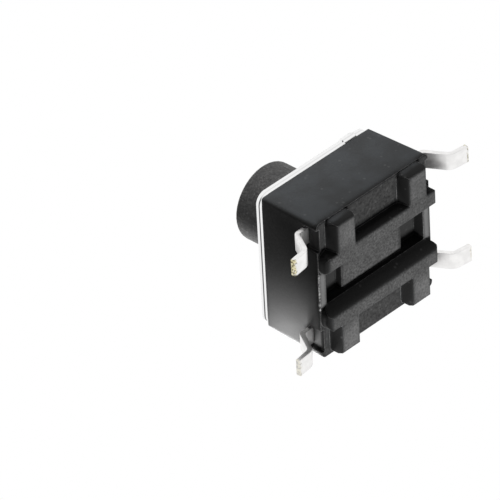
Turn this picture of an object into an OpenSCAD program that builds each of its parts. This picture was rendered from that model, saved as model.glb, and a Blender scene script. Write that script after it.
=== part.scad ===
// Tactile push button switch for surface mounting, 6 mm class, with four gull-wing leads.
// Sizes are in millimetres. The origin is on the board, under the middle of the button. +Z is up, and the
// leads leave along X.

/* [Base] */
// Width of the square moulded base
base_w = 6; // [5.6:0.1:6.6]
// Height of the base between its underside and the cover
base_h = 2.8; // [2.6:0.1:3.6]
// Radius of the base's upright corners at the underside
base_corner_r = 0.2; // [0.18:0.01:0.3]
// Draft of the walls: how much further in they are at the cover than at the underside
wall_draft = 0.09; // [0.04:0.01:0.12]
// Height of the rails and feet under the base
foot_h = 0.5; // [0.35:0.05:0.6]

/* [Rails and feet] */
// Distance between the crests of the two rails
rail_pitch = 2.7; // [2.6:0.05:2.9]
// Width of a rail's flat crest
rail_crest_w = 0.56; // [0.4:0.02:0.6]
// Width in plan of a rail's sloping flank on the channel side
rail_inner_flank = 0.38; // [0.2:0.02:0.4]
// Width in plan of a rail's steep flank on the side of the feet
rail_outer_flank = 0.1; // [0.04:0.02:0.16]
// Rounding along a rail's crest
rail_edge_r = 0.09; // [0.04:0.01:0.12]
// How far a rail's end stays inside the wall
rail_inset = 0.02; // [0.01:0.01:0.1]
// Radius of a rail's ends, seen from below
rail_end_r = 0.42; // [0.3:0.02:0.46]
// Length of the round nose that each rail's crest ends in
rail_nose_len = 0.28; // [0.26:0.02:0.4]
// How far the crest has come up at the end of that nose
rail_nose_rise = 0.26; // [0.2:0.02:0.26]
// Distance between the feet along a rail
foot_pitch = 3.85; // [3.6:0.05:4.1]
// Length of a foot's crest along a rail
foot_w = 0.9; // [0.7:0.02:1]
// How far each side of a foot slopes out on its way up to the underside
foot_side = 0.2; // [0.1:0.02:0.24]
// How far a foot's end stays inside the wall
foot_inset = 0.03; // [0.01:0.01:0.1]
// How far that end leans in on its way to the crest
foot_rake = 0.1; // [0.05:0.01:0.2]
// Radius of a foot's outer corners
foot_corner_r = 0.3; // [0.2:0.05:0.4]

/* [Channel between the rails] */
// Length of the shallow pad in the middle of the channel
pad_len = 3.2; // [2.6:0.1:3.4]
// Depth of the pad under the base's underside
pad_depth = 0.2; // [0.05:0.05:0.3]
// Thickness of the wall that closes each end of the channel
channel_end = 0.36; // [0.2:0.02:0.5]
// Depth of the pockets
pocket_depth = 0.5; // [0.35:0.05:0.6]

/* [Terminals] */
// Thickness of the terminal strip
strip_t = 0.2; // [0.15:0.01:0.25]
// Width of a lead
lead_w = 0.7; // [0.5:0.05:0.8]
// Distance from the middle of a lead to the nearest corner's wall
lead_inset = 0.75; // [0.6:0.05:0.9]
// Height of the strip over the base's underside
lead_exit = 0.54; // [0.5:0.02:0.7]
// Length of a lead that stays level outside the wall
lead_level = 0.25; // [0.15:0.05:0.4]
// Length of a lead's toe beyond its heel
toe_len = 0.61; // [0.4:0.01:1.2]
// Slope of a lead between its two bends, in degrees
lead_slope = 60; // [50:1:75]
// Angle at which the toes dip towards the board, in degrees
toe_dip = 7; // [2:1:10]
// Radius of the bend at the top, on the middle of the strip
shoulder_r = 0.2; // [0.15:0.01:0.25]
// Radius of the bend at the heel, on the middle of the strip
heel_r = 0.35; // [0.2:0.01:0.4]
// Depth of the relief in the wall round a lead
relief_depth = 0.15; // [0.1:0.01:0.2]
// Width of that relief beside the lead
relief_gap = 0.14; // [0.06:0.02:0.16]

/* [Contacts and snap dome] */
// Width of the contact arms
arm_w = 0.7; // [0.5:0.05:0.8]
// How far the contact arms are stepped up above the leads' level
arm_lift = 0.21; // [0.16:0.01:0.3]
// How far a contact stands out of the floor of the cavity
contact_proud = 0.1; // [0.04:0.01:0.12]
// Diameter of the snap dome
dome_d = 4.2; // [3.8:0.1:4.3]
// Height of the snap dome over its rim
dome_h = 0.35; // [0.3:0.01:0.4]
// Thickness of the snap dome
dome_t = 0.08; // [0.05:0.01:0.1]
// Width of the snap dome's flat rim
dome_rim_w = 0.12; // [0.08:0.01:0.2]

/* [Plunger] */
// Diameter of the round stem
stem_d = 3.15; // [2.8:0.05:3.3]
// Height of the stem over the cover
stem_h = 2.5; // [1:0.1:6]
// Radius of the stem's top edge
stem_edge_r = 0.15; // [0.1:0.05:0.3]
// Diameter of the stem's cone-shaped root, where it grows out of the flange
root_d = 3.5; // [3.4:0.05:3.7]
// How far that root reaches up over the cover before it has become the stem
root_rise = 0.06; // [0.06:0.01:0.2]
// Thickness of the flange under the cover
flange_t = 0.6; // [0.4:0.05:0.7]
// Width of the two keys that stop the plunger from turning
key_w = 0.8; // [0.5:0.1:1]
// How far a key stands out of the flange
key_out = 0.35; // [0.2:0.05:0.4]
// Diameter of the nib that presses on the dome
nib_d = 1.2; // [0.8:0.1:1.6]
// Travel of the plunger
travel = 0.25; // [0.15:0.01:0.26]

/* [Cover] */
// Thickness of the cover
cover_t = 0.3; // [0.2:0.05:0.4]
// How far the cover stands out over the base's walls
cover_lip = 0.01; // [0:0.01:0.05]
// Radius of the cover's corners
cover_corner_r = 0.45; // [0.3:0.05:0.6]
// Width of the stub left where the cover was cut from its strip
stub_w = 0.6; // [0.4:0.1:1]
// How far that stub stands out of the edge
stub_out = 0.07; // [0.04:0.01:0.12]
// Distance of the stub from the middle of the edge
stub_x = 1.9; // [0:0.05:2]
// Distance from the middle of a post to the two edges beside it
post_inset = 0.6; // [0.55:0.05:0.7]
// Diameter of the posts
post_d = 0.8; // [0.6:0.05:0.85]
// Diameter of a post's staked head
head_d = 1.15; // [1:0.05:1.2]
// Height of a post's staked head
head_h = 0.16; // [0.1:0.01:0.2]

/* [Clearances] */
// Gap all round the stem's root in the cover's hole
stem_gap = 0.08; // [0.04:0.01:0.1]
// Gap all round the posts in their holes
post_gap = 0.03; // [0.01:0.01:0.05]
// Gap all round the dome in its cavity
dome_gap = 0.1; // [0.05:0.01:0.15]
// Gap all round the flange and its keys
flange_gap = 0.1; // [0.05:0.01:0.15]
// Gap between parts that lie over each other and don't press
play = 0.02; // [0.01:0.005:0.03]

/* [Hidden] */
$fn = 64;
// An overlap for cuts that have to break through a face
eps = 0.01;
underside_z = foot_h;
seat_z = underside_z + base_h;
wall = base_w / 2;
seat_wall = wall - wall_draft;

crest_in = rail_pitch / 2 - rail_crest_w / 2;
crest_out = rail_pitch / 2 + rail_crest_w / 2;
channel_half = crest_in - rail_inner_flank;
rail_half = wall - rail_inset;

strip_z = underside_z + lead_exit;
strip_mid = strip_z + strip_t / 2;
lead_y = wall - lead_inset;
level_x = wall + lead_level;
post_pitch = 2 * (seat_wall - post_inset);
cover_half = seat_wall + cover_lip;

contact_z = strip_z + arm_lift + strip_t;
floor_z = contact_z - contact_proud;
dome_r = dome_d / 2;
cavity_r = dome_r + dome_gap;

nib_z = contact_z + dome_h + play;
flange_top = seat_z - play;
flange_z = flange_top - flange_t;
flange_r = cavity_r - flange_gap;
key_r = flange_r + key_out;
slot_z = flange_z - travel - play;
stem_top = seat_z + cover_t + stem_h;

// Points of an arc of radius r about c, from angle a to angle b.
function arc(c, r, a, b, steps = 5) =
    [for (i = [0 : steps]) let (t = a + (b - a) * i / steps) c + r * [cos(t), sin(t)]];

// The corner at p between the points a and b, rounded with radius r.
function rounded(a, p, b, r) =
    let (
        u = (a - p) / norm(a - p),
        v = (b - p) / norm(b - p),
        half = acos(u * v) / 2,
        m = (u + v) / norm(u + v),
        c = p + m * r / sin(half),
        start = atan2(-m[1], -m[0]),
        turn = (90 - half) * sign(u[0] * v[1] - u[1] * v[0])
    )
    arc(c, r, start + turn, start - turn);

// A square of width w with true round corners, in the XY plane.
module round_square(w, r) {
    square([w - 2 * r, w], center = true);
    square([w, w - 2 * r], center = true);
    for (x = [-1, 1], y = [-1, 1])
        translate([x * (w / 2 - r), y * (w / 2 - r)])
            circle(r);
}

// Draws its children at the four corners of a square of width p.
module at_corners(p) {
    for (x = [-1, 1], y = [-1, 1])
        translate([x * p / 2, y * p / 2, 0])
            children();
}

// Extrudes a section that is drawn as (Y, Z) along X, with its middle at X = 0.
module along_x(length) {
    rotate([90, 0, 90])
        linear_extrude(length, center = true)
            children();
}

// Extrudes a section that is drawn as (X, Z) along Y, with its middle at Y = 0.
module along_y(length) {
    rotate([90, 0, 0])
        linear_extrude(length, center = true)
            children();
}

// A rail is the part that three outlines share: its section, its side view with the round noses, and its
// plan with the round ends.
module rail() {
    root = underside_z + eps;
    nose_x = rail_half - rail_nose_len;
    nose_r = (rail_nose_len * rail_nose_len + rail_nose_rise * rail_nose_rise) / (2 * rail_nose_rise);
    nose_turn = asin(rail_nose_len / nose_r);
    foot_in = [channel_half, underside_z];
    foot_out = [crest_out + rail_outer_flank, underside_z];
    mid = (channel_half + crest_out + rail_outer_flank) / 2;
    plan_w = crest_out + rail_outer_flank - channel_half;
    intersection() {
        along_x(base_w)
            polygon(concat(
                [[foot_out[0], root], [channel_half, root]],
                rounded(foot_in, [crest_in, 0], [crest_out, 0], rail_edge_r),
                rounded([crest_in, 0], [crest_out, 0], foot_out, rail_edge_r)
            ));
        along_y(base_w)
            polygon(concat(
                [[rail_half, root], [-rail_half, root]],
                arc([-nose_x, nose_r], nose_r, 270 - nose_turn, 270),
                arc([nose_x, nose_r], nose_r, 270, 270 + nose_turn)
            ));
        linear_extrude(base_h)
            translate([0, mid])
                rail_plan(2 * rail_half, plan_w);
    }
}

// A rail seen from below: a bar whose ends have two round corners each.
module rail_plan(length, width) {
    square([length - 2 * rail_end_r, width], center = true);
    square([length, width - 2 * rail_end_r], center = true);
    for (x = [-1, 1], y = [-1, 1])
        translate([x * (length / 2 - rail_end_r), y * (width / 2 - rail_end_r)])
            circle(rail_end_r);
}

// A foot runs out from the crest of its rail to just inside the wall. Its sides slope out towards the
// underside, and its end leans in a little.
module foot() {
    root = underside_z + eps;
    end_y = wall - foot_inset;
    start_y = rail_pitch / 2;
    crest_end = [end_y - foot_rake, 0];
    crest_half = foot_w / 2;
    root_half = crest_half + foot_side;
    intersection() {
        linear_extrude(root)
            union() {
                translate([-root_half, start_y])
                    square([2 * root_half, end_y - foot_corner_r - start_y]);
                translate([-root_half + foot_corner_r, start_y])
                    square([2 * (root_half - foot_corner_r), end_y - start_y]);
                for (x = [-1, 1])
                    translate([x * (root_half - foot_corner_r), end_y - foot_corner_r])
                        circle(foot_corner_r);
            }
        along_x(2 * root_half)
            polygon(concat(
                [[end_y, root], [start_y, root], [start_y, 0]],
                rounded([start_y, 0], crest_end, [end_y, underside_z], rail_edge_r)
            ));
        along_y(base_w)
            polygon(concat(
                rounded([-root_half, root], [-crest_half, 0], [crest_half, 0], rail_edge_r),
                rounded([-crest_half, 0], [crest_half, 0], [root_half, root], rail_edge_r),
                [[root_half, root], [-root_half, root]]
            ));
    }
}

// The shallow pad and the two deep pockets, cut up into the underside between the rails.
module channel_cuts() {
    pocket_len = wall - channel_end - pad_len / 2;
    for (x = [-1, 1])
        translate([x * (pad_len + pocket_len) / 2, 0, underside_z + (pocket_depth - eps) / 2])
            cube([pocket_len, 2 * channel_half, pocket_depth + eps], center = true);
    translate([0, 0, underside_z + (pad_depth - eps) / 2])
        cube([pad_len + eps, 2 * channel_half, pad_depth + eps], center = true);
}

// The relief in the wall's lower edge that each lead comes out of. It ends half way up the strip.
module lead_reliefs() {
    height = lead_exit + strip_t / 2;
    for (x = [-1, 1], y = [-1, 1])
        translate([x * (wall + eps - (relief_depth + eps) / 2), y * lead_y, underside_z + (height - eps) / 2])
            cube([relief_depth + eps, lead_w + 2 * relief_gap, height + eps], center = true);
}

// The round cavity for the dome and the flange, with two slots for the keys.
module cavity() {
    translate([0, 0, floor_z])
        cylinder(h = seat_z - floor_z + eps, r = cavity_r);
    translate([0, 0, slot_z])
        key_shape(key_r + play, key_w + 2 * play, seat_z - slot_z + eps);
}

// The two keys of the flange, cut round at their ends.
module key_shape(r, w, h) {
    intersection() {
        cylinder(h = h, r = r);
        translate([0, 0, h / 2])
            cube([2 * r + eps, w, h], center = true);
    }
}

// A post stands up through the cover and ends in a head that was staked round over it.
module post() {
    head_z = seat_z + cover_t;
    head_r = head_d / 2;
    ball_r = (head_r * head_r + head_h * head_h) / (2 * head_h);
    translate([0, 0, seat_z - eps])
        cylinder(h = cover_t + 2 * eps, d = post_d);
    translate([0, 0, head_z])
        rotate_extrude()
            intersection() {
                translate([0, head_h - ball_r])
                    circle(ball_r, $fn = 2 * $fn);
                square([head_r, head_h]);
            }
}

// The block of the base: four drafted walls that meet in round corners.
module block() {
    straight = base_w - 2 * base_corner_r;
    section = [[-wall, underside_z], [wall, underside_z], [seat_wall, seat_z], [-seat_wall, seat_z]];
    along_x(straight)
        polygon(section);
    along_y(straight)
        polygon(section);
    at_corners(straight)
        translate([0, 0, underside_z])
            cylinder(h = base_h, r1 = base_corner_r, r2 = base_corner_r - wall_draft);
}

// The moulded base with its rails, feet and posts.
module base_housing() {
    color("#2d2d2e")
        difference() {
            union() {
                block();
                for (side = [0, 1])
                    mirror([0, side, 0]) {
                        rail();
                        for (x = [-1, 1])
                            translate([x * foot_pitch / 2, 0, 0])
                                foot();
                    }
                at_corners(post_pitch)
                    post();
            }
            channel_cuts();
            lead_reliefs();
            cavity();
            rim_strip();
            centre_strip();
        }
}

// Outline of one lead in side view, as (X, Z): out along its upper face to the tip, and back along its lower
// face. It is set out from the board upwards: the tip rests on the board, the toe rises to the heel, and the
// sloping stretch is as long as it takes to reach the shoulder.
function lead_outline() =
    let (
        half_t = strip_t / 2,
        run = [sin(lead_slope), cos(lead_slope)],
        dip = [sin(toe_dip), cos(toe_dip)],
        shoulder_c = [level_x, strip_mid - shoulder_r],
        slope_top = shoulder_c + shoulder_r * run,
        toe_z = half_t * dip[1] + toe_len * dip[0],
        slope_end_z = toe_z + heel_r * (dip[1] - run[1]),
        slope_end = [slope_top[0] + (slope_top[1] - slope_end_z) / tan(lead_slope), slope_end_z],
        heel_c = slope_end + heel_r * run,
        tip = heel_c - heel_r * dip + toe_len * [dip[1], -dip[0]]
    )
    concat(
        arc(shoulder_c, shoulder_r + half_t, 90, 90 - lead_slope),
        arc(heel_c, heel_r - half_t, 270 - lead_slope, 270 - toe_dip),
        [tip + half_t * dip, tip - half_t * dip],
        arc(heel_c, heel_r + half_t, 270 - toe_dip, 270 - lead_slope),
        arc(shoulder_c, shoulder_r - half_t, 90 - lead_slope, 90)
    );

// A contact arm, drawn as (Y, Z): it leaves the strip, steps up between the two given places and ends.
module arm(step_from, step_to, end) {
    top = strip_z + arm_lift;
    along_x(arm_w)
        polygon([
            [lead_y, strip_z], [step_from, strip_z], [step_to, top], [end, top],
            [end, top + strip_t], [step_to, top + strip_t], [step_from, strip_z + strip_t],
            [lead_y, strip_z + strip_t]
        ]);
}

// A strip that runs right through the base, with a lead at each end.
module strip_with_leads() {
    lead = lead_outline();
    translate([0, lead_y, 0])
        along_y(lead_w)
            polygon(concat(lead, [for (i = [len(lead) - 1 : -1 : 0]) [-lead[i][0], lead[i][1]]]));
}

// The strip whose two arms carry the rim of the dome.
module rim_strip() {
    arm_x = cavity_r + play - arm_w / 2;
    step_from = lead_y - lead_w / 2;
    mirror([0, 1, 0]) {
        strip_with_leads();
        for (x = [-1, 1])
            translate([x * arm_x, 0, 0])
                arm(step_from, step_from - arm_lift, -arm_w / 2);
    }
}

// The strip whose arm ends under the middle of the dome, and stays sunk in the floor where it passes the rim.
module centre_strip() {
    step_from = dome_r - 2 * dome_rim_w - arm_w;
    strip_with_leads();
    arm(step_from, step_from - arm_lift, -arm_w / 2);
}

module rim_terminal() {
    color("#dcdcd8")
        rim_strip();
}

module centre_terminal() {
    color("#dcdcd8")
        centre_strip();
}

// The round snap dome: a thin spherical cap on a flat rim.
module snap_dome() {
    chord = dome_r - dome_rim_w;
    rise = dome_h - dome_t;
    ball_r = (chord * chord + rise * rise) / (2 * rise);
    color("#c9cacb")
        translate([0, 0, contact_z])
            rotate_extrude()
                union() {
                    translate([chord - eps, 0])
                        square([dome_rim_w + eps, dome_t]);
                    intersection() {
                        translate([0, rise - ball_r])
                            difference() {
                                circle(ball_r + dome_t, $fn = 4 * $fn);
                                circle(ball_r, $fn = 4 * $fn);
                            }
                        square([chord, dome_h]);
                    }
                }
}

// The button: a round stem that widens to a cone in the cover's hole, a flange with two keys under the cover,
// and a nib on the dome.
module plunger() {
    stem_r = stem_d / 2;
    nib_edge = nib_d / 8;
    root_z = flange_top - eps;
    color("#303030") {
        translate([0, 0, flange_z])
            rotate_extrude()
                union() {
                    square([stem_r - stem_edge_r, stem_top - flange_z]);
                    square([stem_r, stem_top - stem_edge_r - flange_z]);
                    translate([stem_r - stem_edge_r, stem_top - stem_edge_r - flange_z])
                        circle(stem_edge_r);
                }
        translate([0, 0, root_z])
            cylinder(h = seat_z + cover_t + root_rise - root_z, d1 = root_d, d2 = stem_d);
        translate([0, 0, flange_z])
            cylinder(h = flange_t, r = flange_r);
        translate([0, 0, flange_z])
            key_shape(key_r - play, key_w, flange_t);
        translate([0, 0, nib_z + nib_edge])
            cylinder(h = flange_z - nib_z - nib_edge + eps, d = nib_d);
        translate([0, 0, nib_z])
            cylinder(h = nib_edge, d1 = nib_d - 2 * nib_edge, d2 = nib_d);
    }
}

// The stamped cover, with the hole for the stem, four holes for the posts and the stub of its carrier strip.
module cover_plate() {
    color("#e4e4e1")
        translate([0, 0, seat_z])
            linear_extrude(cover_t)
                difference() {
                    union() {
                        round_square(2 * cover_half, cover_corner_r);
                        translate([stub_x - stub_w / 2, -cover_half - stub_out])
                            square([stub_w, stub_out + cover_corner_r]);
                    }
                    circle(root_d / 2 + stem_gap);
                    at_corners(post_pitch)
                        circle(d = post_d + 2 * post_gap);
                }
}

base_housing();
rim_terminal();
centre_terminal();
snap_dome();
plunger();
cover_plate();
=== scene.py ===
# %% [markdown]
# # A push button switch for surface mounting
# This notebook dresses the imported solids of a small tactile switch. The real one is a square block of black
# glass-filled plastic, 6 mm wide. Four tinned brass leads leave its sides, a steel cover is held down on
# top by four staked posts, and a black button stands out through the cover. The camera looks up at the
# underside, so most of the work goes into the moulded underside, the leads and the sheared edge of the
# cover.

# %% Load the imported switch
import math
import bpy
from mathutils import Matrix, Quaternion, Vector


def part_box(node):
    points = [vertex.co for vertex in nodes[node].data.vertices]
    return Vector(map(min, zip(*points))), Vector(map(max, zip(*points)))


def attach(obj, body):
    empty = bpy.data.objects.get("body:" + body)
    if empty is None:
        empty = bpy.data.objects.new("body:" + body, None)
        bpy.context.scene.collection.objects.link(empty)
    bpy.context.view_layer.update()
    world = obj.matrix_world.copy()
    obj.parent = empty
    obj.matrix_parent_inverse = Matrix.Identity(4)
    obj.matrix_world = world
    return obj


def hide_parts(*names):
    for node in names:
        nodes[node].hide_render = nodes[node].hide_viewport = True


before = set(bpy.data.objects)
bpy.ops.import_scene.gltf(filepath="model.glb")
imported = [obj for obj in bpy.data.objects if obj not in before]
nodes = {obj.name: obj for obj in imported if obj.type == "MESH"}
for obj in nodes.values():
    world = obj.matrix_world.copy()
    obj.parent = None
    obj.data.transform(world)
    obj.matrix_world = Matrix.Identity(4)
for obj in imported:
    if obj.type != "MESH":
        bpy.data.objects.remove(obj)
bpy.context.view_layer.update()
MM = 0.001
print("nodes:", sorted(nodes))

# %% [markdown]
# ## Camera
# The photograph was taken from below and to the left with a very long lens, so parallel edges stay nearly
# parallel. The camera is described as a photographer would: a point it looks at, a distance, two angles
# round that point and a roll about the line of sight. The numbers come from matching the corners of the
# base.

# %% Camera
AIM = Vector((-3.042, -0.382, 3.908)) * MM
DISTANCE = 256.6 * MM
AZIMUTH = math.radians(-44.40)
ELEVATION = math.radians(-35.17)
ROLL = math.radians(62.74)
# Blender gives the lens and the sensor in millimetres
LENS = 504
SENSOR = 36
NEAREST = 1 * MM
FARTHEST = 10


def direction_to_camera(azimuth, elevation):
    flat = math.cos(elevation)
    return Vector((math.sin(azimuth) * flat, -math.cos(azimuth) * flat, math.sin(elevation)))


def add_camera():
    data = bpy.data.cameras.new("long_lens")
    data.sensor_width = SENSOR
    data.lens = LENS
    data.clip_start = NEAREST
    data.clip_end = FARTHEST
    camera = bpy.data.objects.new("long_lens", data)
    bpy.context.scene.collection.objects.link(camera)
    back = direction_to_camera(AZIMUTH, ELEVATION)
    camera.location = AIM + back * DISTANCE
    level = (-back).to_track_quat("-Z", "Y")
    camera.rotation_mode = "QUATERNION"
    camera.rotation_quaternion = Quaternion(back, -ROLL) @ level
    bpy.context.scene.camera = camera
    return camera


camera = add_camera()
print("camera at", [round(v / MM, 1) for v in camera.location], "mm")

# %% [markdown]
# ## Helpers for shader nodes
# Every finish below is a small tree of shader nodes. A few helpers keep the trees readable. One adds a node
# and fills in its sockets by name, and one joins an output to an input or types in a number. The others
# wrap what comes up most: a sum, a smooth ramp, the three parts of a vector, and a blend of two colours.

# %% Node helpers
def feed(tree, socket, value):
    """Joins a socket to another node's output, or types a plain value into it."""
    if isinstance(value, bpy.types.NodeSocket):
        tree.links.new(value, socket)
    else:
        socket.default_value = value


def add(tree, kind, **sockets):
    """Adds a shader node and feeds its named inputs; _ in a name stands for a space."""
    node = tree.nodes.new("ShaderNode" + kind)
    for name, value in sockets.items():
        feed(tree, node.inputs[name.replace("_", " ")], value)
    return node


def maths(tree, operation, *values, clamp=False):
    """The result of a sum; with clamp it stays between 0 and 1."""
    node = tree.nodes.new("ShaderNodeMath")
    node.operation = operation
    node.use_clamp = clamp
    for socket, value in zip(node.inputs, values):
        feed(tree, socket, value)
    return node.outputs[0]


def ramp(tree, value, low, high, bottom=0.0, top=1.0):
    """Maps low..high to bottom..top with a smooth shoulder at both ends."""
    node = tree.nodes.new("ShaderNodeMapRange")
    node.interpolation_type = "SMOOTHSTEP"
    for name, number in (("From Min", low), ("From Max", high), ("To Min", bottom), ("To Max", top)):
        node.inputs[name].default_value = number
    feed(tree, node.inputs["Value"], value)
    return node.outputs["Result"]


def fade(tree, value, low, high):
    """1 up to low and 0 from high on, with a smooth fall between them."""
    return ramp(tree, value, low, high, 1.0, 0.0)


def three_parts(tree, vector):
    """Splits a vector into its X, Y and Z."""
    node = tree.nodes.new("ShaderNodeSeparateXYZ")
    feed(tree, node.inputs[0], vector)
    return node.outputs


# %% Colour helpers
# A Mix node repeats its socket names for each kind of data, so its colour sockets are picked by number
FIRST_COLOUR, SECOND_COLOUR, MIXED_COLOUR = 6, 7, 2


def blend_colour(tree, factor, first, second):
    """Goes from the first colour to the second as the factor goes from 0 to 1."""
    node = tree.nodes.new("ShaderNodeMix")
    node.data_type = "RGBA"
    feed(tree, node.inputs["Factor"], factor)
    feed(tree, node.inputs[FIRST_COLOUR], first)
    feed(tree, node.inputs[SECOND_COLOUR], second)
    return node.outputs[MIXED_COLOUR]


def lay_over(tree, skin, mask, colour, share=1.0):
    """Covers the skin with a colour where the mask shows, as densely as the share says."""
    return blend_colour(tree, maths(tree, "MULTIPLY", mask, share), skin, colour)


def grey(level, warmth=0.0):
    """A grey with a little warmth (above 0) or coolness (below 0)."""
    return (level * (1 + warmth), level, level * (1 - warmth), 1)


# %% [markdown]
# ## Shared effects
# Four effects turn up in more than one finish, so each is a node group with named sockets. *Grain* is the
# fine sparkle that a spark-eroded mould leaves on plastic and that plating leaves on metal. *Cloud* is the
# slow change of tone that handling leaves. *Specks* are single light grains of filler and dust. *Patchy
# edges* finds the edges of a piece and leaves them out in patches. On the base the skin there is rubbed
# lighter and also carries a painted edge highlight; on the button it is rubbed lighter, and on the leads it
# is greyer.
# Painted pictures could do the same, but noise has no seams and stays sharp however close the camera comes.
# All sizes are in millimetres, measured on the piece itself.

# %% Group maker
def new_group(name, inputs, outputs):
    """An empty group with named number sockets. Gives the group, what comes in and what goes out."""
    group = bpy.data.node_groups.new(name, "ShaderNodeTree")
    for label, value in inputs:
        group.interface.new_socket(label, in_out="INPUT", socket_type="NodeSocketFloat").default_value = value
    for label in outputs:
        group.interface.new_socket(label, in_out="OUTPUT", socket_type="NodeSocketFloat")
    source = group.nodes.new("NodeGroupInput")
    sink = group.nodes.new("NodeGroupOutput")
    return group, source.outputs, sink.inputs


def place_group(tree, group, **values):
    """Places a group in a material with its own values and gives its outputs."""
    node = tree.nodes.new("ShaderNodeGroup")
    node.node_tree = group
    for name, value in values.items():
        feed(tree, node.inputs[name.replace("_", " ")], value)
    return node.outputs


def noise(tree, size_mm, detail=2.0, roughness=0.5, stretch=(1, 1, 1)):
    """Noise whose blobs are about size_mm across, in the piece's own coordinates."""
    where = add(tree, "TexCoord").outputs["Object"]
    spread = add(tree, "Mapping", Vector=where, Scale=stretch)
    scale = maths(tree, "DIVIDE", 1 / MM, size_mm)
    pattern = add(tree, "TexNoise", Vector=spread.outputs[0], Scale=scale, Detail=detail, Roughness=roughness)
    return pattern.outputs["Fac"]


# %% Grain group
NOISE_MIDDLE = 0.5


def make_grain():
    """The pattern as a height, and as a tone whose contrast can be set."""
    group, given, result = new_group("grain", [("Size mm", 0.08), ("Contrast", 1.0)], ["Height", "Tone"])
    fine = noise(group, given["Size mm"], detail=3, roughness=0.65)
    swing = maths(group, "SUBTRACT", fine, NOISE_MIDDLE)
    tone = maths(group, "MULTIPLY_ADD", swing, given["Contrast"], NOISE_MIDDLE, clamp=True)
    feed(group, result["Height"], fine)
    feed(group, result["Tone"], tone)
    return group


# %% Cloud group
CLOUD_SPAN = (0.35, 0.65)


def make_cloud():
    group, given, result = new_group("cloud", [("Size mm", 1.5)], ["Tone"])
    slow = noise(group, given["Size mm"], roughness=0.55)
    feed(group, result["Tone"], ramp(group, slow, *CLOUD_SPAN))
    return group


# %% Specks group
# A speck is full up to the first distance from its middle and gone at the second, in widths of its cell
SPECK_RIM = (0.15, 0.5)


def make_specks():
    """Cells with a dot in the middle of each, of which only the given share is kept."""
    group, given, result = new_group("specks", [("Size mm", 0.1), ("Share", 0.2)], ["Mask"])
    where = add(group, "TexCoord").outputs["Object"]
    scale = maths(group, "DIVIDE", 1 / MM, given["Size mm"])
    cells = add(group, "TexVoronoi", Vector=where, Scale=scale)
    luck = group.nodes.new("ShaderNodeSeparateColor")
    feed(group, luck.inputs[0], cells.outputs["Color"])
    chosen = maths(group, "LESS_THAN", luck.outputs[0], given["Share"])
    dot = fade(group, cells.outputs["Distance"], *SPECK_RIM)
    feed(group, result["Mask"], maths(group, "MULTIPLY", chosen, dot))
    return group


# %% Patchy edges group
# The cosine between the rounded and the plain normal: at a full edge, and where the surface is flat
EDGE_TURN = (0.88, 0.995)
RUB_SIZE_MM = 0.25
RUB_SPAN = (0.35, 0.6)


def make_patchy_edges():
    """Compares the normal of a rounded edge with the plain one, and leaves the edge out in patches."""
    group, given, result = new_group("patchy_edges", [("Reach mm", 0.03), ("Patchiness", 0.5)], ["Mask"])
    rounded = add(group, "Bevel", Radius=maths(group, "MULTIPLY", given["Reach mm"], MM))
    plain = add(group, "NewGeometry").outputs["Normal"]
    facing = group.nodes.new("ShaderNodeVectorMath")
    facing.operation = "DOT_PRODUCT"
    feed(group, facing.inputs[0], rounded.outputs[0])
    feed(group, facing.inputs[1], plain)
    edge = fade(group, facing.outputs["Value"], *EDGE_TURN)
    patches = ramp(group, noise(group, RUB_SIZE_MM, detail=3), *RUB_SPAN)
    kept = maths(group, "MULTIPLY_ADD", maths(group, "SUBTRACT", patches, 1.0), given["Patchiness"], 1.0)
    feed(group, result["Mask"], maths(group, "MULTIPLY", edge, kept))
    return group


GRAIN, CLOUD, SPECKS, PATCHY_EDGES = make_grain(), make_cloud(), make_specks(), make_patchy_edges()
print("groups:", [group.name for group in (GRAIN, CLOUD, SPECKS, PATCHY_EDGES)])

# %% [markdown]
# ## Finishes
# Each material keeps its Principled shader in the open. Numbers that are the same all over are set on the
# shader itself, and only what changes over the surface comes through nodes.

# %% Material helpers
# Noise seldom leaves this span
NOISE_SPAN = (0.3, 0.7)


def new_material(name, metallic, specular=0.5):
    """Gives a new material, its tree of nodes and its Principled shader."""
    material = bpy.data.materials.new(name)
    material.use_nodes = True
    tree = material.node_tree
    shader = tree.nodes["Principled BSDF"]
    shader.inputs["Metallic"].default_value = metallic
    shader.inputs["Specular IOR Level"].default_value = specular
    return material, tree, shader


def mottle(tree, shader, pattern, smooth, rough):
    """Lets the roughness follow a pattern, between a smooth and a rough value."""
    feed(tree, shader.inputs["Roughness"], ramp(tree, pattern, *NOISE_SPAN, smooth, rough))


def bump(tree, shader, height, depth_mm, soft_mm=0.0):
    """Makes the surface uneven. With soft_mm the shading also rounds the edges by that radius."""
    node = add(tree, "Bump", Height=height, Strength=1.0, Distance=depth_mm * MM)
    if soft_mm:
        feed(tree, node.inputs["Normal"], add(tree, "Bevel", Radius=soft_mm * MM).outputs[0])
    feed(tree, shader.inputs["Normal"], node.outputs[0])


def softened_normal(tree, reach_mm):
    """The direction a surface faces, in the piece's own axes, with its edges blurred over the given reach."""
    node = tree.nodes.new("ShaderNodeVectorTransform")
    node.vector_type = "NORMAL"
    node.convert_from, node.convert_to = "WORLD", "OBJECT"
    feed(tree, node.inputs[0], add(tree, "Bevel", Radius=reach_mm * MM).outputs[0])
    return node.outputs[0]
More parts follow.
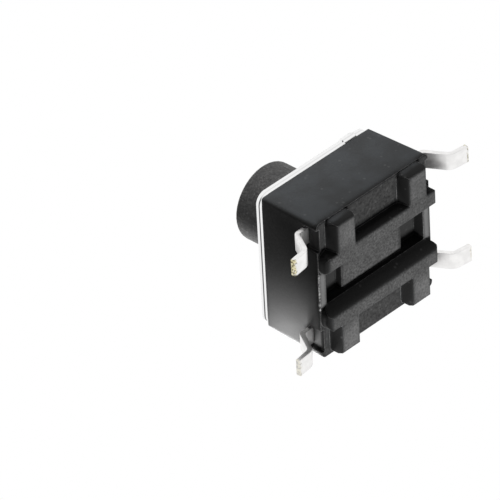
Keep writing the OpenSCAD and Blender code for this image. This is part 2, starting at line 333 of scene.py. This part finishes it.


# %% [markdown]
# ## Black plastic of the base
# The base comes out of a spark-eroded mould, so its underside has a fine, dull sparkle. Seen from below,
# light and dark are painted to follow the shape: the crests of the rails and feet are paler than the floors
# between them, whose darker greys are painted shade, the flanks and the pockets are painted dark as shade,
# the side walls go from painted shade to painted light, and the edges are rubbed lighter with a painted edge
# highlight. This could be painted on by hand. Here it follows from two things that each point knows, which
# way it faces and where it lies. The facing is read from a softened normal, so the tones run into one another
# as they do over a rounded edge. First come the zones, as masks that go from 0 to 1.

# %% Zones of the moulding
# Each pair is where a mask starts to change and where it has changed fully
FOOT_HEIGHT = 0.5 * MM
POCKET_FLOOR = (FOOT_HEIGHT + 0.3 * MM, FOOT_HEIGHT + 0.4 * MM)
CHANNEL_SIDE = (0.7 * MM, 0.8 * MM)
CHANNEL_END = (2.6 * MM, 2.7 * MM)
RAIL_TO_FOOT = (1.5 * MM, 2.2 * MM)
# Along Y the side walls go from painted shade in front to painted light at the back
SIDE_SHADE_TO_LIGHT = (-1 * MM, 2.2 * MM)
# The rubbed edges and their painted edge highlight weaken between these heights
RUB_AND_HIGHLIGHT_LEVELS = (FOOT_HEIGHT - 0.05 * MM, FOOT_HEIGHT + 0.3 * MM)
FACES_DOWN = (-0.995, -0.72)
FACES_LEVEL = (-0.2, -0.1)
FACES_ALONG_X = (0.5, 0.9)
CREST_BLUR_MM = 0.26
# Share of rubbed edge and painted edge highlight on the crests and deeper down
RUB_AND_HIGHLIGHT_ON_CRESTS, RUB_AND_HIGHLIGHT_DEEPER = 0.7, 0.2


def moulding_zones(tree):
    """Masks for the parts of the moulding that differ in tone."""
    facing = three_parts(tree, softened_normal(tree, CREST_BLUR_MM))
    place = three_parts(tree, add(tree, "TexCoord").outputs["Object"])
    from_middle_x = maths(tree, "ABSOLUTE", place["X"])
    from_middle_y = maths(tree, "ABSOLUTE", place["Y"])
    below = fade(tree, facing["Z"], *FACES_DOWN)
    below_or_sloping = fade(tree, facing["Z"], *FACES_LEVEL)
    channel = fade(tree, from_middle_y, *CHANNEL_SIDE)
    return {
        "below": below,
        "flank": maths(tree, "SUBTRACT", below_or_sloping, below),
        "side": ramp(tree, maths(tree, "ABSOLUTE", facing["X"]), *FACES_ALONG_X),
        "painted_light_side": ramp(tree, place["Y"], *SIDE_SHADE_TO_LIGHT),
        "above_crests": ramp(tree, place["Z"], 0, FOOT_HEIGHT),
        "foot": ramp(tree, from_middle_y, *RAIL_TO_FOOT),
        "channel": channel,
        "channel_end": maths(tree, "MULTIPLY", channel, ramp(tree, from_middle_x, *CHANNEL_END)),
        "pocket": maths(tree, "MULTIPLY", ramp(tree, place["Z"], *POCKET_FLOOR), below),
        "rub_and_highlight": ramp(tree, place["Z"], *RUB_AND_HIGHLIGHT_LEVELS, RUB_AND_HIGHLIGHT_ON_CRESTS, RUB_AND_HIGHLIGHT_DEEPER),
    }


# %% Tones of the moulding
WALL_DARK, WALL_LIGHT = grey(0.030, -0.03), grey(0.036, -0.05)
# Painted shade and painted light for the two side walls
SIDE_PAINTED_SHADE, SIDE_PAINTED_LIGHT = grey(0.021), grey(0.070)
DULL_PATCH = grey(0.04)
CHANNEL_END_TONE = grey(0.10)
# Painted shade on the flanks of the rails and feet
FLANK_PAINTED_SHADE = grey(0.013)
# Painted shade in the pockets
POCKET_PAINTED_SHADE = grey(0.018)
FILLER_SPECK = grey(0.12)
# Rubbed edges, lightened further as a painted edge highlight
RUBBED_EDGE_AND_HIGHLIGHT = grey(0.2)


def underside_tone(tree, zones, rail, foot, shaded_recess, pad):
    """A grey for each part seen from below: the rails, the feet, the recesses between them, darker as painted
    shade, and the pad.
    """
    crests = blend_colour(tree, zones["foot"], grey(rail), grey(foot))
    floors = blend_colour(tree, zones["channel"], grey(shaded_recess), grey(pad))
    return blend_colour(tree, zones["above_crests"], crests, floors)


def wall_tone(tree, zones, cloud):
    """The front and back walls are cloudy and a little cool; the two side walls go from painted shade in
    front to painted light at the back.
    """
    front = blend_colour(tree, cloud, WALL_DARK, WALL_LIGHT)
    side = blend_colour(tree, zones["painted_light_side"], SIDE_PAINTED_SHADE, SIDE_PAINTED_LIGHT)
    return blend_colour(tree, zones["side"], front, side)


# %% Finish of the base
def base_plastic():
    material, tree, shader = new_material("black_moulding", metallic=0, specular=0.022)
    zones = moulding_zones(tree)
    cloud = place_group(tree, CLOUD, Size_mm=0.9)["Tone"]
    grain = place_group(tree, GRAIN, Size_mm=0.09, Contrast=2.4)
    specks = place_group(tree, SPECKS, Size_mm=0.16, Share=0.05)["Mask"]
    edge_patches = place_group(tree, PATCHY_EDGES, Reach_mm=0.045, Patchiness=0.6)["Mask"]

    # The recesses get darker greys than the crests, as painted shade
    dark = underside_tone(tree, zones, rail=0.018, foot=0.034, shaded_recess=0.010, pad=0.020)
    light = underside_tone(tree, zones, rail=0.070, foot=0.092, shaded_recess=0.036, pad=0.066)
    light = lay_over(tree, light, cloud, DULL_PATCH, share=0.5)
    underside = blend_colour(tree, grain["Tone"], dark, light)
    underside = lay_over(tree, underside, zones["channel_end"], CHANNEL_END_TONE, share=0.7)
    skin = blend_colour(tree, zones["below"], wall_tone(tree, zones, cloud), underside)
    # Painted shade on the flanks
    skin = lay_over(tree, skin, zones["flank"], FLANK_PAINTED_SHADE)
    # Painted shade in the pockets
    skin = lay_over(tree, skin, zones["pocket"], POCKET_PAINTED_SHADE)
    skin = lay_over(tree, skin, specks, FILLER_SPECK, share=0.15)
    # Rubbed edges with a painted edge highlight
    skin = lay_over(tree, skin, edge_patches, RUBBED_EDGE_AND_HIGHLIGHT, share=zones["rub_and_highlight"])
    feed(tree, shader.inputs["Base Color"], skin)
    mottle(tree, shader, grain["Height"], smooth=0.5, rough=0.68)
    bump(tree, shader, grain["Height"], depth_mm=0.008, soft_mm=0.14)
    return material


# %% [markdown]
# ## Black plastic of the button
# The button is moulded in another plastic, with a stronger, lighter grain and more filler near the skin.
# Fingers have left it a little uneven in tone. It is round and has no zones of its own, so the four shared
# effects are simply laid over one another.

# %% Finish of the button
GRAIN_DARK, GRAIN_LIGHT = grey(0.026), grey(0.070, 0.01)
TOUCHED_PATCH = grey(0.03)
BUTTON_SPECK = grey(0.13)
BUTTON_EDGE = grey(0.08)


def button_plastic():
    material, tree, shader = new_material("black_button", metallic=0, specular=0.08)
    grain = place_group(tree, GRAIN, Size_mm=0.08, Contrast=3.6)
    cloud = place_group(tree, CLOUD, Size_mm=1.6)["Tone"]
    specks = place_group(tree, SPECKS, Size_mm=0.14, Share=0.2)["Mask"]
    edge_patches = place_group(tree, PATCHY_EDGES, Reach_mm=0.05, Patchiness=0.4)["Mask"]

    skin = blend_colour(tree, grain["Tone"], GRAIN_DARK, GRAIN_LIGHT)
    skin = lay_over(tree, skin, cloud, TOUCHED_PATCH, share=0.4)
    skin = lay_over(tree, skin, specks, BUTTON_SPECK, share=0.35)
    skin = lay_over(tree, skin, edge_patches, BUTTON_EDGE, share=0.3)
    feed(tree, shader.inputs["Base Color"], skin)
    mottle(tree, shader, grain["Height"], smooth=0.5, rough=0.7)
    bump(tree, shader, grain["Height"], depth_mm=0.012)
    return material


# %% [markdown]
# ## Tinned strip
# The leads are brass strip that was tinned before it was cut, so the four cut ends show bare, stained brass
# with a ragged border to the tin. The two ends in front are barer than the two behind. A second material on
# the end faces would give a straight border, so one material tells the ends by their distance from the
# middle of the switch, and noise makes that border ragged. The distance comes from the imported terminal's
# own box.

# %% Finish of the leads
SPAN_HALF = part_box("rim_terminal")[1][0]
BARE_FROM, BARE_FULLY = SPAN_HALF - 0.12 * MM, SPAN_HALF - 0.02 * MM
RAGGEDNESS = 0.4 * MM
FRONT_TO_BACK = (-1 * MM, 1 * MM)
BARE_IN_FRONT, BARE_BEHIND = 1.0, 0.35
TIN_DULL, TIN_BRIGHT = grey(0.80, 0.01), grey(0.88, 0.01)
TIN_EDGE = grey(0.42, 0.01)
BRASS_STAINED, BRASS_CLEAN = (0.10, 0.08, 0.03, 1), (0.72, 0.66, 0.42, 1)
STAIN_SPAN = (0.4, 0.58)


def bare_ends(tree):
    """A mask that shows the cut ends, with a ragged border, and more weakly at the back."""
    place = three_parts(tree, add(tree, "TexCoord").outputs["Object"])
    shake = maths(tree, "SUBTRACT", noise(tree, size_mm=0.12, detail=3), NOISE_MIDDLE)
    shaken_x = maths(tree, "MULTIPLY_ADD", shake, RAGGEDNESS, maths(tree, "ABSOLUTE", place["X"]))
    bare = ramp(tree, shaken_x, BARE_FROM, BARE_FULLY)
    return maths(tree, "MULTIPLY", bare, ramp(tree, place["Y"], *FRONT_TO_BACK, BARE_IN_FRONT, BARE_BEHIND))


def tinned_strip():
    material, tree, shader = new_material("tinned_brass", metallic=0.97)
    edge = place_group(tree, PATCHY_EDGES, Reach_mm=0.04, Patchiness=0.4)["Mask"]
    cloud = place_group(tree, CLOUD, Size_mm=0.4)["Tone"]
    grain = place_group(tree, GRAIN, Size_mm=0.05, Contrast=1.5)
    stain = ramp(tree, noise(tree, size_mm=0.1, detail=3), *STAIN_SPAN)

    tin = blend_colour(tree, cloud, TIN_DULL, TIN_BRIGHT)
    tin = lay_over(tree, tin, edge, TIN_EDGE, share=0.6)
    brass = blend_colour(tree, stain, BRASS_STAINED, BRASS_CLEAN)
    feed(tree, shader.inputs["Base Color"], blend_colour(tree, bare_ends(tree), tin, brass))
    mottle(tree, shader, grain["Height"], smooth=0.3, rough=0.42)
    bump(tree, shader, grain["Height"], depth_mm=0.001)
    return material


# %% [markdown]
# ## Cover steel
# The cover is punched out of bright sheet. A punch cuts cleanly through the first part of the thickness and
# tears the rest, which leaves a dark line along the edge. The line could be a groove in the mesh, but it is
# only some hundredths of a millimetre wide, so it is drawn by height within the thickness, on faces that
# stand upright. In the photograph it is plain on the left edge and hardly shows in front, so on the front
# edges the line is weakened, which is painted light.

# %% Finish of the cover
COVER_LOW, COVER_HIGH = (corner[2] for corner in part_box("cover_plate"))
TORN_LINE_HEIGHT = 0.45
TORN_LINE_RIM = (0.04, 0.16)
# Weaker on the front edges as painted light; the line itself is the torn zone
LINE_IN_FRONT, LINE_ON_SIDES = 0.15, 1.0
UPRIGHT = (0.3, 0.7)
SHEET_DULL, SHEET_BRIGHT = grey(0.72, 0.005), grey(0.86, 0.005)
CUT_CLEAN, CUT_TORN = grey(0.9), grey(0.05)
ROLLED_LONG = (0.06, 1, 1)


def torn_line(tree, facing, where):
    """A mask for the dark line in the sheared edge, a little under the middle of the sheet. It is weakened on
    the front edges, which is painted light.
    """
    strength = ramp(tree, maths(tree, "ABSOLUTE", facing["X"]), *FACES_ALONG_X, LINE_IN_FRONT, LINE_ON_SIDES)
    up = maths(tree, "DIVIDE", maths(tree, "SUBTRACT", where["Z"], COVER_LOW), COVER_HIGH - COVER_LOW)
    from_line = maths(tree, "ABSOLUTE", maths(tree, "SUBTRACT", up, TORN_LINE_HEIGHT))
    return maths(tree, "MULTIPLY", fade(tree, from_line, *TORN_LINE_RIM), strength)


def cover_steel():
    material, tree, shader = new_material("cover_steel", metallic=1)
    where = three_parts(tree, add(tree, "TexCoord").outputs["Object"])
    facing = three_parts(tree, add(tree, "TexCoord").outputs["Normal"])
    sheared = fade(tree, maths(tree, "ABSOLUTE", facing["Z"]), *UPRIGHT)
    rolled = noise(tree, size_mm=0.05, stretch=ROLLED_LONG)
    face = blend_colour(tree, rolled, SHEET_DULL, SHEET_BRIGHT)
    edge = blend_colour(tree, torn_line(tree, facing, where), CUT_CLEAN, CUT_TORN)
    feed(tree, shader.inputs["Base Color"], blend_colour(tree, sheared, face, edge))
    mottle(tree, shader, rolled, smooth=0.25, rough=0.4)
    bump(tree, shader, rolled, depth_mm=0.003)
    return material


# %% [markdown]
# ## Spring steel and torn flash
# The snap dome is pressed from thin rolled spring steel, with fine lines along the roll. It lies inside the
# closed switch, so a stretched noise is enough. The flash is plastic that was torn off, paler where it was
# stretched, so its tone follows a noise in patches.

# %% Finish of the dome
DOME_DULL, DOME_BRIGHT = grey(0.55), grey(0.68)
DOME_ROLLED_LONG = (0.05, 1, 1)


def spring_steel():
    material, tree, shader = new_material("spring_steel", metallic=1)
    rolled = noise(tree, size_mm=0.06, stretch=DOME_ROLLED_LONG)
    feed(tree, shader.inputs["Base Color"], blend_colour(tree, rolled, DOME_DULL, DOME_BRIGHT))
    mottle(tree, shader, rolled, smooth=0.2, rough=0.34)
    bump(tree, shader, rolled, depth_mm=0.002)
    return material


# %% Finish of the flash
FLASH_DARK, FLASH_PALE = grey(0.04), grey(0.3)
FLASH_SPAN = (0.42, 0.6)


def torn_flash():
    material, tree, shader = new_material("torn_flash", metallic=0, specular=0.3)
    patches = noise(tree, size_mm=0.12, detail=3)
    pale = ramp(tree, patches, *FLASH_SPAN)
    feed(tree, shader.inputs["Base Color"], blend_colour(tree, pale, FLASH_DARK, FLASH_PALE))
    mottle(tree, shader, patches, smooth=0.5, rough=0.7)
    return material


# %% All finishes
finishes = {
    "base_plastic": base_plastic(),
    "button_plastic": button_plastic(),
    "tinned_strip": tinned_strip(),
    "cover_steel": cover_steel(),
    "spring_steel": spring_steel(),
    "torn_flash": torn_flash(),
}
print("finishes:", sorted(finishes))

# %% [markdown]
# ## From solids to finished pieces
# The solids have the right shapes but knife-sharp edges. On a real moulding or stamping every edge catches
# a line of light. A copy of each solid is merged into one skin, its flat faces are joined up, and a Bevel
# modifier then rounds the edges by a few hundredths of a millimetre. The button's solid has its round edge
# already, so it gets none. On the base, edges meet closely round the feet, so there the rounding may
# shrink.

# %% Merged copy of a solid
WELD = 1e-7
FLAT_ANGLE = math.radians(0.5)


def merged_copy(node, name):
    """A copy of a solid whose loose triangles are one skin with whole flat faces."""
    bpy.ops.object.select_all(action="DESELECT")
    piece = nodes[node].copy()
    piece.data = nodes[node].data.copy()
    piece.name = piece.data.name = name
    bpy.context.scene.collection.objects.link(piece)
    piece.parent = None
    piece.select_set(True)
    bpy.context.view_layer.objects.active = piece
    bpy.ops.object.mode_set(mode="EDIT")
    bpy.ops.mesh.select_all(action="SELECT")
    bpy.ops.mesh.remove_doubles(threshold=WELD)
    bpy.ops.mesh.dissolve_limited(angle_limit=FLAT_ANGLE)
    bpy.ops.object.mode_set(mode="OBJECT")
    return piece


# %% Rounded edges
SHARP_ANGLE = math.radians(30)
ROUND_SEGMENTS = 2


def round_edges(piece, width_mm, may_shrink):
    """Rounds the sharp edges. Where edges meet closely, the rounding shrinks if it may."""
    edge = piece.modifiers.new("edge", "BEVEL")
    edge.width = width_mm * MM
    edge.segments = ROUND_SEGMENTS
    edge.limit_method = "ANGLE"
    edge.angle_limit = SHARP_ANGLE
    edge.use_clamp_overlap = may_shrink
    bpy.ops.object.modifier_apply(modifier="edge")


# %% Finished pieces
def finish_piece(node, name, body, slot, round_mm=0.0, may_shrink=False):
    """Makes a finished piece from a solid, sets it on its body and lets it take the solid's place."""
    piece = merged_copy(node, name)
    if round_mm:
        round_edges(piece, round_mm, may_shrink)
    bpy.ops.object.shade_smooth_by_angle(angle=SHARP_ANGLE)
    piece.data.materials.clear()
    piece.data.materials.append(finishes[slot])
    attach(piece, body)
    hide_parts(node)
    print(name, len(piece.data.polygons), "faces")


finish_piece("base_housing", "base_moulding", "switch_body", "base_plastic", round_mm=0.04, may_shrink=True)
finish_piece("rim_terminal", "rim_leads", "switch_body", "tinned_strip", round_mm=0.025)
finish_piece("centre_terminal", "centre_leads", "switch_body", "tinned_strip", round_mm=0.025)
finish_piece("cover_plate", "cover_sheet", "switch_body", "cover_steel", round_mm=0.03)
finish_piece("plunger", "button_moulding", "button", "button_plastic")

# %% The dome keeps its solid and gets its finish
dome_mesh = nodes["snap_dome"].data
dome_mesh.materials.clear()
dome_mesh.materials.append(finishes["spring_steel"])
print("snap_dome", len(dome_mesh.polygons), "faces")

# %% [markdown]
# ## Torn flash
# Where the two halves of the mould met, a film of plastic squeezed out along the lower edge of the left
# wall, between the two rails. It was torn off and left a thin, pale, ragged line. Noise in the material
# alone would leave the outline straight, so it is a piece. A bar as long as the line is cut into short
# lengths, and its points are then shaken a little so that no two lengths stand out alike.

# %% Flash along the lower edge
FLASH_LENGTH = 1.6 * MM
FLASH_THICK = 0.04 * MM
FLASH_SHAKE = 0.018 * MM
FLASH_CUTS = 18
FLASH_SEED = 4


def add_flash():
    bpy.ops.object.select_all(action="DESELECT")
    left_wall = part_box("base_housing")[0][0]
    size = (FLASH_THICK, FLASH_LENGTH, FLASH_THICK)
    bpy.ops.mesh.primitive_cube_add(size=1, location=(left_wall, 0, FOOT_HEIGHT), scale=size)
    flash = bpy.context.active_object
    flash.name = flash.data.name = "torn_flash"
    bpy.ops.object.transform_apply(location=True, rotation=True, scale=True)
    bpy.ops.object.mode_set(mode="EDIT")
    bpy.ops.mesh.select_all(action="SELECT")
    bpy.ops.mesh.subdivide(number_cuts=FLASH_CUTS)
    bpy.ops.transform.vertex_random(offset=FLASH_SHAKE, seed=FLASH_SEED)
    bpy.ops.object.mode_set(mode="OBJECT")
    flash.data.materials.append(finishes["torn_flash"])
    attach(flash, "switch_body")
    print("torn_flash", len(flash.data.polygons), "faces")


add_flash()

# %% [markdown]
# ## Light
# The studio is an even white surround that shines only weakly on the switch, and three soft lamps at a
# distance: in front, below and overhead. Two small ones stand close, as they do for so small a product. One
# lights the back end of the left wall, so that it fades to dark towards the front, and one lights the back
# of the button. The lamps are hidden from the camera and from reflections, so the metal mirrors the white
# surround and the switch itself.

# %% White surround
AMBIENT = 0.07
WHITE = (1, 1, 1, 1)


def set_world():
    """White to the camera and in reflections, and weak as a light on the object."""
    world = bpy.data.worlds.new("white_surround")
    bpy.context.scene.world = world
    world.use_nodes = True
    tree = world.node_tree
    path = add(tree, "LightPath").outputs
    seen = maths(tree, "MAXIMUM", path["Is Camera Ray"], path["Is Transmission Ray"])
    seen = maths(tree, "MAXIMUM", seen, path["Is Glossy Ray"])
    strength = maths(tree, "MULTIPLY_ADD", seen, 1.0 - AMBIENT, AMBIENT)
    background = tree.nodes["Background"]
    background.inputs["Color"].default_value = WHITE
    feed(tree, background.inputs["Strength"], strength)


set_world()
print("world:", bpy.context.scene.world.name)

# %% Lamps
# Each lamp's place, the point it shines at, the side of its square, all in millimetres, and its level
LAMPS = {
    "front_lamp": ((8, -55, 22), (0, -3, 2), 30, 1.9),
    "under_lamp": ((-4, 26, -52), (0, 0, 0), 20, 2.65),
    "near_lamp": ((-4.0, 4.4, 2), (-3, 2, 1.8), 1.5, 7),
    "button_lamp": ((-2.4, 5.5, 4.8), (-1.3, 1, 4.5), 1.2, 5),
    "top_lamp": ((0, 0, 80), (0, 0, 4), 50, 1.2),
}


def soft_lamp(name, place_mm, target_mm, size_mm, level):
    """A square lamp. A small one of level 1 would show a white surface at the target, facing it, as white."""
    data = bpy.data.lights.new(name, "AREA")
    data.shape = "SQUARE"
    data.size = size_mm * MM
    place, target = Vector(place_mm) * MM, Vector(target_mm) * MM
    distance = (target - place).length
    data.energy = level * math.pi * math.pi * distance * distance
    lamp = bpy.data.objects.new(name, data)
    lamp.location = place
    lamp.rotation_euler = (target - place).to_track_quat("-Z", "Y").to_euler()
    lamp.visible_camera = False
    lamp.visible_glossy = False
    bpy.context.scene.collection.objects.link(lamp)


for lamp_name, lamp_facts in LAMPS.items():
    soft_lamp(lamp_name, *lamp_facts)
print("lamps:", sorted(LAMPS))

# %% [markdown]
# ## Floor
# The switch stands on a pale board. The photograph looks up at it from below, where a real floor would be
# in the way, so the floor shows only to a camera above it and lets all light through.

# %% Floor
FLOOR_RADIUS = 400 * MM
FLOOR_CORNERS = 96
FLOOR_PAINT = grey(0.9)


def floor_material():
    material = bpy.data.materials.new("pale_floor")
    material.use_nodes = True
    tree = material.node_tree
    tree.nodes.remove(tree.nodes["Principled BSDF"])
    paint = add(tree, "BsdfDiffuse", Color=FLOOR_PAINT)
    clear = add(tree, "BsdfTransparent")
    seen = add(tree, "LightPath").outputs["Is Camera Ray"]
    behind = add(tree, "NewGeometry").outputs["Backfacing"]
    from_above = maths(tree, "MULTIPLY", seen, maths(tree, "SUBTRACT", 1.0, behind))
    choose = tree.nodes.new("ShaderNodeMixShader")
    for socket, value in zip(choose.inputs, (from_above, clear.outputs[0], paint.outputs[0])):
        feed(tree, socket, value)
    feed(tree, tree.nodes["Material Output"].inputs["Surface"], choose.outputs[0])
    return material


def add_floor():
    bpy.ops.object.select_all(action="DESELECT")
    bpy.ops.mesh.primitive_circle_add(vertices=FLOOR_CORNERS, radius=FLOOR_RADIUS, fill_type="NGON")
    floor = bpy.context.active_object
    floor.name = floor.data.name = "pale_floor"
    floor.data.materials.append(floor_material())
    print("pale_floor", FLOOR_RADIUS, "m in radius")


add_floor()

# %% [markdown]
# ## Colour
# The colours are shown as they are, without a film look.

# %% Finish
bpy.context.scene.view_settings.view_transform = "Standard"
